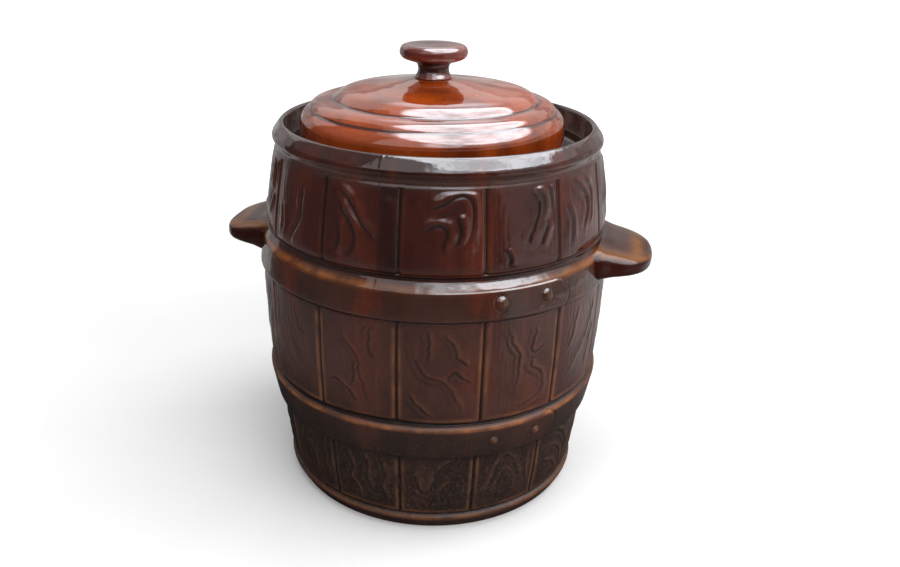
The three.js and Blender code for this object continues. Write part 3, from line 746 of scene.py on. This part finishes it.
def build_lug(name, side):
    """Blunt tongue that thins towards its nose, crowned on top; its root runs into the barrel."""
    nose = max(abs(LUG_LOW.x), abs(LUG_HIGH.x))
    start, root, top = 112 * MM, 122 * MM, LUG_HIGH.z
    root_half, narrower = 42.5 * MM, 7 * MM
    root_thick, thinner = 24 * MM, 15 * MM
    drop = 9 * MM
    across = 96
    straight = np.linspace((start - root) / (nose - root), 0.7, 26)
    rounded = 1 - 0.3 * (1 - np.sin(np.linspace(0, math.pi / 2, 24)[1:]))
    turns = np.arange(across) * 2 * math.pi / across
    c, s = np.cos(turns), np.sin(turns)
    rows, thin = [], []
    for share in np.concatenate([straight, rounded]):
        reach = max(share, 0)
        fillet = 2 * MM * (1 - float(smooth_step(0.0, 0.3, share)))
        half = (root_half - narrower * reach) * max(0.0, 1 - reach**5) ** 0.5 + fillet
        thick = root_thick - thinner * reach
        close = max(0.0, 1 - max(0.0, (reach - 0.9) / 0.1) ** 2) ** 0.5
        middle = top - drop * reach - thick / 2
        half_thick = thick / 2 * (0.2 + 0.8 * close) + 0.4 * fillet
        y = half * np.sign(c) * np.abs(c) ** 0.5
        z = middle + half_thick * np.sign(s) * np.abs(s) ** 0.6
        x = np.full(across, root + (nose - root) * share)
        rows.append(np.stack([side * x, y, z], axis=-1))
        rim = 0.3 * bump(np.abs(s) - 0.7, 0.2) * (s > 0)
        thin.append(rim + 0.22 * bump(reach - 0.7, 0.1) * bump(c + 0.1, 0.3) * (s > 0))
    points = np.array(rows)
    faces = grid_faces(len(rows), across)
    hub = len(rows) * across
    end = points[-1].mean(axis=0)
    ring = [(len(rows) - 1) * across + j for j in range(across)]
    faces += [[hub, ring[j], ring[(j + 1) % across]] for j in range(across)]
    faces.append(list(range(across))[::-1])
    if side < 0:
        faces = [face[::-1] for face in faces]
    piece = mesh_piece(name, np.vstack([points.reshape(-1, 3), end]), faces)
    store(piece, "edge", np.concatenate(thin))
    return piece


def build_stone(name, side):
    """Half-moon weight with a finger hole, from a filled flat curve with a rounded edge."""
    radius = STONE_HIGH.x
    split = STONE_LOW.x
    thick = STONE_HIGH.z - STONE_LOW.z
    edge = 3 * MM
    hole_offset, hole_radius = 42 * MM, 11 * MM
    data = bpy.data.curves.new(name, "CURVE")
    data.dimensions = "2D"
    data.fill_mode = "BOTH"
    data.extrude = thick / 2 - edge
    data.bevel_depth = edge
    data.bevel_resolution = 4
    data.offset = -edge
    opening = math.acos(split / radius)
    arc = [(radius * math.cos(a), radius * math.sin(a)) for a in np.linspace(-opening, opening, 64)]
    turns = np.linspace(0, 2 * math.pi, 33)[:-1]
    ring = [(hole_offset + hole_radius * math.cos(a), hole_radius * math.sin(a)) for a in turns]
    for points in (arc, ring):
        spline = data.splines.new("POLY")
        spline.points.add(len(points) - 1)
        for point, (x, y) in zip(spline.points, points):
            point.co = (side * x, side * y, 0, 1)
        spline.use_cyclic_u = True
    piece = bpy.data.objects.new(name, data)
    piece.location.z = (STONE_LOW.z + STONE_HIGH.z) / 2
    bpy.context.scene.collection.objects.link(piece)
    return piece


# Materials


def srgb(red, green, blue):
    """Scene colour of an 8-bit display colour."""
    def linear(value):
        value /= 255
        return value / 12.92 if value <= 0.04045 else ((value + 0.055) / 1.055) ** 2.4
    return (linear(red), linear(green), linear(blue), 1.0)


def gray(shade):
    """Scene colour of an even gray."""
    return (shade, shade, shade, 1.0)


class Tree:
    """Short way to write the nodes of one material."""

    def __init__(self, name):
        self.material = bpy.data.materials.new(name)
        self.material.use_nodes = True
        self.tree = self.material.node_tree
        self.shader = self.tree.nodes["Principled BSDF"]
        self.place = self.add("ShaderNodeTexCoord").outputs["Object"]

    def add(self, kind, **settings):
        node = self.tree.nodes.new(kind)
        for key, value in settings.items():
            setattr(node, key, value)
        return node

    def link(self, value, socket):
        if isinstance(value, bpy.types.NodeSocket):
            self.tree.links.new(value, socket)
        else:
            socket.default_value = value

    def noise(self, scale, detail=3.0, rough=0.55, stretch=(1, 1, 1)):
        mapping = self.add("ShaderNodeMapping")
        mapping.inputs["Scale"].default_value = stretch
        self.link(self.place, mapping.inputs["Vector"])
        node = self.add("ShaderNodeTexNoise")
        self.link(mapping.outputs["Vector"], node.inputs["Vector"])
        node.inputs["Scale"].default_value = scale
        node.inputs["Detail"].default_value = detail
        node.inputs["Roughness"].default_value = rough
        return node.outputs["Fac"]

    def ramp(self, value, low, high, to_low=0.0, to_high=1.0):
        node = self.add("ShaderNodeMapRange", interpolation_type="SMOOTHSTEP")
        self.link(value, node.inputs["Value"])
        for key, number in (("From Min", low), ("From Max", high), ("To Min", to_low), ("To Max", to_high)):
            node.inputs[key].default_value = number
        return node.outputs["Result"]

    def gradient(self, value, span, stops):
        """Colour by a value that goes from 0 to span, through stops (value, colour)."""
        node = self.add("ShaderNodeValToRGB")
        elements = node.color_ramp.elements
        while len(elements) < len(stops):
            elements.new(0.5)
        for element, (place, color) in zip(elements, stops):
            element.position = place / span
            element.color = color
        self.link(self.math("DIVIDE", value, span), node.inputs["Fac"])
        return node.outputs["Color"]

    def math(self, operation, a, b=0.0):
        node = self.add("ShaderNodeMath", operation=operation)
        self.link(a, node.inputs[0])
        self.link(b, node.inputs[1])
        return node.outputs["Value"]

    def plus(self, a, b):
        return self.math("ADD", a, b)

    def times(self, a, b):
        return self.math("MULTIPLY", a, b)

    def distance(self, point=(0, 0, 0)):
        """Distance of each place from a point."""
        node = self.add("ShaderNodeVectorMath", operation="DISTANCE")
        self.link(self.place, node.inputs[0])
        node.inputs[1].default_value = point
        return node.outputs["Value"]

    def mix(self, share, a, b, blend="MIX"):
        node = self.add("ShaderNodeMix", data_type="RGBA", blend_type=blend)
        self.link(share, node.inputs["Factor"])
        self.link(a, node.inputs[6])
        self.link(b, node.inputs[7])
        return node.outputs[2]

    def attribute(self, name):
        return self.add("ShaderNodeAttribute", attribute_name=name).outputs["Fac"]

    def height(self):
        split = self.add("ShaderNodeSeparateXYZ")
        self.link(self.place, split.inputs["Vector"])
        return split.outputs["Z"]

    def bump(self, value, distance):
        node = self.add("ShaderNodeBump")
        node.inputs["Distance"].default_value = distance
        self.link(value, node.inputs["Height"])
        self.link(node.outputs["Normal"], self.shader.inputs["Normal"])

    def finish(self, color, roughness, ior=GLAZE_IOR):
        self.link(color, self.shader.inputs["Base Color"])
        self.link(roughness, self.shader.inputs["Roughness"])
        self.link(ior, self.shader.inputs["IOR"])
        return self.material

    def join(self, kind, first, second, share=None):
        """Adds or mixes two shaders and sends the result to the output."""
        node = self.add(kind)
        sockets = list(node.inputs)
        if share is not None:
            self.link(share, sockets.pop(0))
        self.link(first, sockets[0])
        self.link(second, sockets[1])
        self.link(node.outputs["Shader"], self.tree.nodes["Material Output"].inputs["Surface"])


def barrel_glaze():
    """Brown glaze: dark where it pools and with painted shade in gaps and grooves, grayer with a painted
    reflection on the upper hoop and in the neck, amber where it thins on edges, dusty towards the foot.
    """
    t = Tree("barrel_glaze")
    edge, pool_and_shade, height = t.attribute("edge"), t.attribute("pool_and_shade"), t.height()
    # Painted reflection: the grayer stops on the upper hoop (0.176 to 0.190) and in the neck cove (0.259)
    # stand for the haze these faces reflect
    body = t.gradient(height, 0.28, (
        (0.000, srgb(58, 29, 16)),
        (0.020, srgb(44, 22, 13)),
        (0.064, srgb(45, 23, 14)),
        (0.080, srgb(50, 28, 19)),
        (0.104, srgb(72, 33, 19)),
        (0.168, srgb(70, 31, 18)),
        (0.176, srgb(62, 37, 30)),
        (0.190, srgb(60, 33, 25)),
        (0.204, srgb(60, 19, 10)),
        (0.252, srgb(60, 20, 11)),
        (0.259, srgb(68, 45, 39)),
        (0.265, srgb(50, 21, 15)),
    ))
    clouds = t.noise(16, 4)
    streaks = t.noise(34, 4, 0.6, (1, 1, 0.2))
    mottle = t.noise(240, 3, 0.6)
    speckle = t.noise(700, 2, 0.7)
    color = t.mix(t.ramp(clouds, 0.36, 0.64, 0, 0.7), body, (0.62, 0.6, 0.6, 1), "MULTIPLY")
    rust, amber, pool_and_shade_color = srgb(98, 36, 15), srgb(146, 84, 34), srgb(16, 9, 8)
    lime, dusty = srgb(124, 112, 108), srgb(112, 96, 84)
    reddish = t.times(t.ramp(streaks, 0.45, 0.7, 0, 0.55), t.ramp(height, 0.06, 0.11, 0.3, 1))
    color = t.mix(reddish, color, rust)
    color = t.mix(t.ramp(mottle, 0.35, 0.65, 0, 0.35), color, gray(0.6), "MULTIPLY")
    patchy = t.times(edge, t.ramp(t.noise(60, 4), 0.34, 0.62, 0.2, 1))
    color = t.mix(patchy, color, amber)
    # Pooled glaze and painted shade: gaps, grooves and carved lines go near-black
    color = t.mix(pool_and_shade, color, pool_and_shade_color)
    scale = t.times(t.attribute("scale"), t.ramp(t.noise(70, 4), 0.36, 0.64, 0.15, 0.65))
    color = t.mix(scale, color, lime)
    low = t.ramp(height, 0.12, 0.03)
    dust = t.times(t.times(low, t.ramp(speckle, 0.5, 0.68)), 0.3)
    color = t.mix(dust, color, dusty)
    # Dull at the foot, glossy on the upper hoop, less so on the upper staves and glossy again at the rim
    rough = t.plus(t.ramp(height, 0.095, 0.13, 0.5, 0.25), t.ramp(height, 0.165, 0.183, 0, -0.2))
    rough = t.plus(rough, t.ramp(height, 0.197, 0.203, 0, 0.11))
    rough = t.plus(rough, t.ramp(height, 0.255, 0.265, 0, -0.11))
    rough = t.plus(rough, t.times(t.noise(90, 3), 0.08))
    t.link(t.ramp(height, 0.09, 0.13, 0.28, 0.5), t.shader.inputs["Specular IOR Level"])
    grit = t.times(t.plus(mottle, t.times(low, speckle)), 0.07)
    ripples = t.times(t.noise(80, 2), t.ramp(height, 0.258, 0.265, 0.3, 0.4))
    t.bump(t.plus(t.plus(t.noise(38, 2), ripples), grit), 1.0 * MM)
    return t.finish(color, rough)


def plain_glaze(name, dark, body, light, roughness, bend_light, ior=GLAZE_IOR):
    """Glossy glaze with soft clouds, painted shade in creases and lighter on rounded edges."""
    t = Tree(name)
    edge = t.attribute("edge")
    color = t.mix(t.ramp(t.noise(24, 4), 0.4, 0.7, 0, 0.7), body, dark)
    color = t.mix(t.ramp(t.noise(11, 3), 0.48, 0.68, 0, 0.6), color, dark)
    # Painted shade: darker where the outline bends inwards, in creases and on the knob's neck
    color = t.mix(t.ramp(edge, -0.02, -0.18), color, dark)
    color = t.mix(t.ramp(edge, 0.05, bend_light), color, light)
    color = t.mix(t.ramp(t.noise(260, 3), 0.35, 0.65, 0, 0.3), color, gray(0.6), "MULTIPLY")
    t.bump(t.plus(t.noise(40, 2), t.times(t.noise(200, 2), 0.06)), 0.3 * MM)
    return t.finish(color, t.plus(t.times(t.noise(60, 3), 0.05), roughness), ior)


def stoneware():
    """Unglazed pale stoneware with fine iron specks."""
    t = Tree("weight_stoneware")
    color = t.mix(t.ramp(t.noise(25, 4), 0.35, 0.65), srgb(188, 172, 144), srgb(172, 152, 122))
    color = t.mix(t.ramp(t.noise(600, 1), 0.68, 0.74), color, srgb(96, 70, 48))
    t.bump(t.noise(420, 3), 0.1 * MM)
    return t.finish(color, t.ramp(t.noise(80, 2), 0.3, 0.7, 0.7, 0.85), 1.5)


def wear(piece, material, body, slot, *nodes):
    """Gives a piece its material and the body it rides on, and hides the nodes it stands for. The slot is
    not used.
    """
    piece.data.materials.append(material)
    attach(piece, body)
    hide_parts(*nodes)


# Stage, light and camera


def build_floor():
    """Wide pale floor that keeps the crock's shadow and runs out to white far away."""
    half = 9.0
    corners = [(-half, -half, 0), (half, -half, 0), (half, half, 0), (-half, half, 0)]
    floor = mesh_piece("floor", corners, [[0, 1, 2, 3]])
    t = Tree("floor")
    path = t.add("ShaderNodeLightPath")
    seen = t.math("MAXIMUM", path.outputs["Is Camera Ray"], path.outputs["Is Glossy Ray"])
    seen = t.math("MAXIMUM", seen, path.outputs["Is Transmission Ray"])
    glow = t.add("ShaderNodeEmission")
    t.link(t.times(seen, t.ramp(t.distance(), 0.15, 1.4, 0.1, 0.7)), glow.inputs["Strength"])
    color = t.mix(t.ramp(t.noise(6, 2), 0.3, 0.7), gray(0.8), gray(0.83))
    floor.data.materials.append(t.finish(color, 0.9, PAINT_IOR))
    t.join("ShaderNodeAddShader", t.shader.outputs["BSDF"], glow.outputs["Emission"])


def only_in_gloss(card):
    """Makes a card part of the stage that nothing but a mirror reflection shows."""
    card.visible_camera = False
    card.visible_diffuse = False
    card.visible_transmission = False
    card.visible_volume_scatter = False
    card.visible_shadow = False


def card_paint(name, stops):
    """Dull gray paint that changes with the distance from the foot, through stops (metres, shade)."""
    t = Tree(name)
    color = t.gradient(t.distance(), 1.0, [(place, gray(shade)) for place, shade in stops])
    patches = t.ramp(t.noise(9, 3), 0.3, 0.7, 0, 0.5)
    return t.finish(t.mix(patches, color, gray(0)), 1.0, PAINT_IOR)


def reflection_card(name, paint, start, end, near, far):
    """Curved card round the crock that only its gloss shows, for the darker place the photo was taken in:
    between two angles in degrees, from a near to a far edge, each given as (radius, height)."""
    steps = 40
    angles = np.radians(np.linspace(start, end, steps))
    edges = [(r * math.sin(a), -r * math.cos(a), z) for r, z in (near, far) for a in angles]
    faces = [[i, i + 1, steps + i + 1, steps + i] for i in range(steps - 1)]
    card = mesh_piece(name, edges, faces)
    card.data.materials.append(paint)
    only_in_gloss(card)


def build_surround():
    """Dark ground and walls in front of the crock and on its left, paler ones on the right and behind."""
    inner, outer, top, crest = (0.1, 1.5 * MM), (0.95, 1.5 * MM), (0.95, 0.62), (0.55, 1.35)
    dark = card_paint("dark_surround", ((0.11, 0.04), (0.22, 0.06), (0.36, 0.15), (0.6, 0.07), (0.9, 0.07)))
    dusk = card_paint("dusk_surround", ((0.11, 0.05), (0.22, 0.1), (0.36, 0.28), (0.6, 0.4), (0.9, 0.45)))
    pale = card_paint("pale_surround", ((0.11, 0.1), (0.25, 0.45), (0.6, 0.6), (0.9, 0.6)))
    left = card_paint("left_surround", ((0.11, 0.04), (0.22, 0.06), (0.36, 0.24), (0.6, 0.13), (0.9, 0.09)))
    shade = card_paint("shade_surround", ((0.9, 0.28), (1.0, 0.28)))
    for name, paint, start, end in (
        ("dark", dark, -30, 48), ("dusk", dusk, 48, 100), ("pale", pale, 100, 253), ("left", left, 253, 330)
    ):
        reflection_card(name + "_ground", paint, start, end, inner, outer)
        reflection_card(name + "_wall", paint, start, end, outer, top)
    reflection_card("left_shade", shade, 253, 320, top, crest)


def glow_card(name, azimuth, elevation, spread, radiance, soft):
    """Round bright patch of sky that only the gloss shows: its direction and half width in degrees, its
    radiance against 1 for white, and the share of its width over which it fades out."""
    away = 1.6
    middle = Vector((0, 0, 0.25))
    lean = Matrix.Rotation(math.radians(90 - elevation), 3, "X")
    turn = Matrix.Rotation(math.radians(azimuth), 3, "Z") @ lean
    rings, columns = 12, 64
    points = []
    for ring in range(1, rings + 1):
        tilt = math.radians(spread) * ring / rings
        for k in range(columns):
            a = 2 * math.pi * k / columns
            spot = Vector((math.sin(tilt) * math.cos(a), math.sin(tilt) * math.sin(a), math.cos(tilt)))
            points.append(middle + away * (turn @ spot))
    card = mesh_piece(name, points, grid_faces(rings, columns) + [list(range(columns))])
    t = Tree(name)
    from_middle = t.distance(middle + away * (turn @ Vector((0, 0, 1))))
    wide = 2 * away * math.sin(math.radians(spread) / 2)
    fade = t.ramp(from_middle, wide, (1 - soft) * wide, 0, 1)
    drifting = t.times(fade, t.ramp(t.noise(2.5, 3), 0.35, 0.6, 0.6, 1))
    t.link(t.times(drifting, radiance), t.shader.inputs["Emission Strength"])
    t.shader.inputs["Emission Color"].default_value = (0.9, 0.94, 1.0, 1)
    clear = t.add("ShaderNodeBsdfTransparent")
    card.data.materials.append(t.finish(gray(0), 1.0, 1.0))
    t.join("ShaderNodeMixShader", clear.outputs["BSDF"], t.shader.outputs["BSDF"], fade)
    only_in_gloss(card)


def build_glow():
    """Open sky over the crock to the right, with weaker light from the front and from behind."""
    glow_card("sky_glow", 90, 71, 41, SKY_RADIANCE, 0.15)
    glow_card("front_glow", 22, 42, 24, 0.46 * SKY_RADIANCE, 0.6)
    glow_card("back_glow", 188, 46, 22, 0.3 * SKY_RADIANCE, 0.5)


def softbox(name, place, turn, tilt, size, radiance):
    """Rectangular lamp of a given radiance that faces down, tilted and then turned about the vertical, in
    degrees. The gloss shows the glow cards in its place."""
    data = bpy.data.lights.new(name, "AREA")
    data.shape = "RECTANGLE"
    data.size, data.size_y = size
    data.energy = radiance * math.pi * size[0] * size[1]
    lamp = bpy.data.objects.new(name, data)
    lean = Matrix.Rotation(math.radians(tilt), 4, "X")
    lamp.matrix_world = Matrix.Translation(place) @ Matrix.Rotation(math.radians(turn), 4, "Z") @ lean
    lamp.visible_glossy = False
    bpy.context.scene.collection.objects.link(lamp)


def build_light():
    """Even pale world, white to the camera and in the gloss, and softboxes round the crock."""
    world = bpy.data.worlds.new("studio")
    bpy.context.scene.world = world
    world.use_nodes = True
    tree = world.node_tree
    path = tree.nodes.new("ShaderNodeLightPath")
    seen = path.outputs["Is Camera Ray"]
    for kind in ("Is Glossy Ray", "Is Transmission Ray"):
        either = tree.nodes.new("ShaderNodeMath")
        either.operation = "MAXIMUM"
        tree.links.new(seen, either.inputs[0])
        tree.links.new(path.outputs[kind], either.inputs[1])
        seen = either.outputs["Value"]
    strength = tree.nodes.new("ShaderNodeMapRange")
    strength.inputs["To Min"].default_value = WORLD_LIGHT
    strength.inputs["To Max"].default_value = WORLD_SEEN
    tree.links.new(seen, strength.inputs["Value"])
    background = tree.nodes["Background"]
    background.inputs["Color"].default_value = (1, 1, 1, 1)
    tree.links.new(strength.outputs["Result"], background.inputs["Strength"])
    softbox("overhead", (0.4, 0.0, 1.55), 29, 0, (1.8, 0.6), 5.0)
    softbox("behind", (0.0, 1.6, 1.7), 0, -48, (1.9, 0.65), 1.7)
    softbox("right", (1.5, -0.15, 0.75), 84, 68, (0.9, 0.7), 3.5)
    softbox("front", (0.88, -1.13, 1.4), 38, 50, (1.8, 0.6), 4.5)


def build_camera():
    """Camera at the photograph's viewpoint."""
    data = bpy.data.cameras.new("camera")
    data.sensor_width = 36
    data.lens = data.sensor_width * FOCAL_PIXELS / IMAGE_WIDTH
    data.shift_x = CAMERA_SHIFT_PIXELS[0] / IMAGE_WIDTH
    data.shift_y = CAMERA_SHIFT_PIXELS[1] / IMAGE_WIDTH
    data.clip_start = 0.02
    camera = bpy.data.objects.new("camera", data)
    turn = Matrix.Rotation(CAMERA_AZIMUTH, 4, "Z")
    place = turn @ Vector((0, -CAMERA_REACH, CAMERA_HEIGHT))
    tilt = Matrix.Rotation(math.pi / 2 - CAMERA_DOWN, 4, "X")
    roll = Matrix.Rotation(CAMERA_ROLL, 4, "Z")
    camera.matrix_world = Matrix.Translation(place) @ turn @ tilt @ roll
    bpy.context.scene.collection.objects.link(camera)
    bpy.context.scene.camera = camera


build_camera()
build_light()
build_floor()
build_surround()
build_glow()
bpy.context.scene.view_settings.view_transform = "Standard"

body_glaze = barrel_glaze()
lug_glaze = plain_glaze(
    "lug_glaze", dark=srgb(30, 11, 9), body=srgb(50, 18, 13), light=srgb(126, 74, 22),
    roughness=0.07, bend_light=0.4, ior=1.34,
)
gutter_glaze = plain_glaze(
    "gutter_glaze", dark=srgb(38, 22, 19), body=srgb(84, 64, 58), light=srgb(84, 40, 24),
    roughness=0.1, bend_light=0.6,
)
lid_glaze = plain_glaze(
    "lid_glaze", dark=srgb(70, 22, 8), body=srgb(162, 68, 20), light=srgb(172, 80, 24),
    roughness=0.04, bend_light=0.6, ior=1.9,
)
knob_glaze = plain_glaze(
    "knob_glaze", dark=srgb(44, 14, 11), body=srgb(126, 50, 36), light=srgb(140, 60, 40),
    roughness=0.05, bend_light=0.8, ior=1.9,
)
stone_clay = stoneware()

wear(build_barrel(), body_glaze, "crock", "barrel_glaze", "crock_barrel")
wear(build_gutter(), gutter_glaze, "crock", "gutter_glaze", "gutter_ring")
wear(build_lug("lug_left_handle", -1), lug_glaze, "crock", "lug_glaze", "lug_left")
wear(build_lug("lug_right_handle", 1), lug_glaze, "crock", "lug_glaze", "lug_right")
wear(build_lid(), lid_glaze, "lid", "lid_glaze", "lid_cover")
wear(build_knob(), knob_glaze, "lid", "knob_glaze", "lid_knob")
wear(build_stone("stone_left", -1), stone_clay, "weight_left", "weight_stoneware", "weight_stone_left")
wear(build_stone("stone_right", 1), stone_clay, "weight_right", "weight_stoneware", "weight_stone_right")
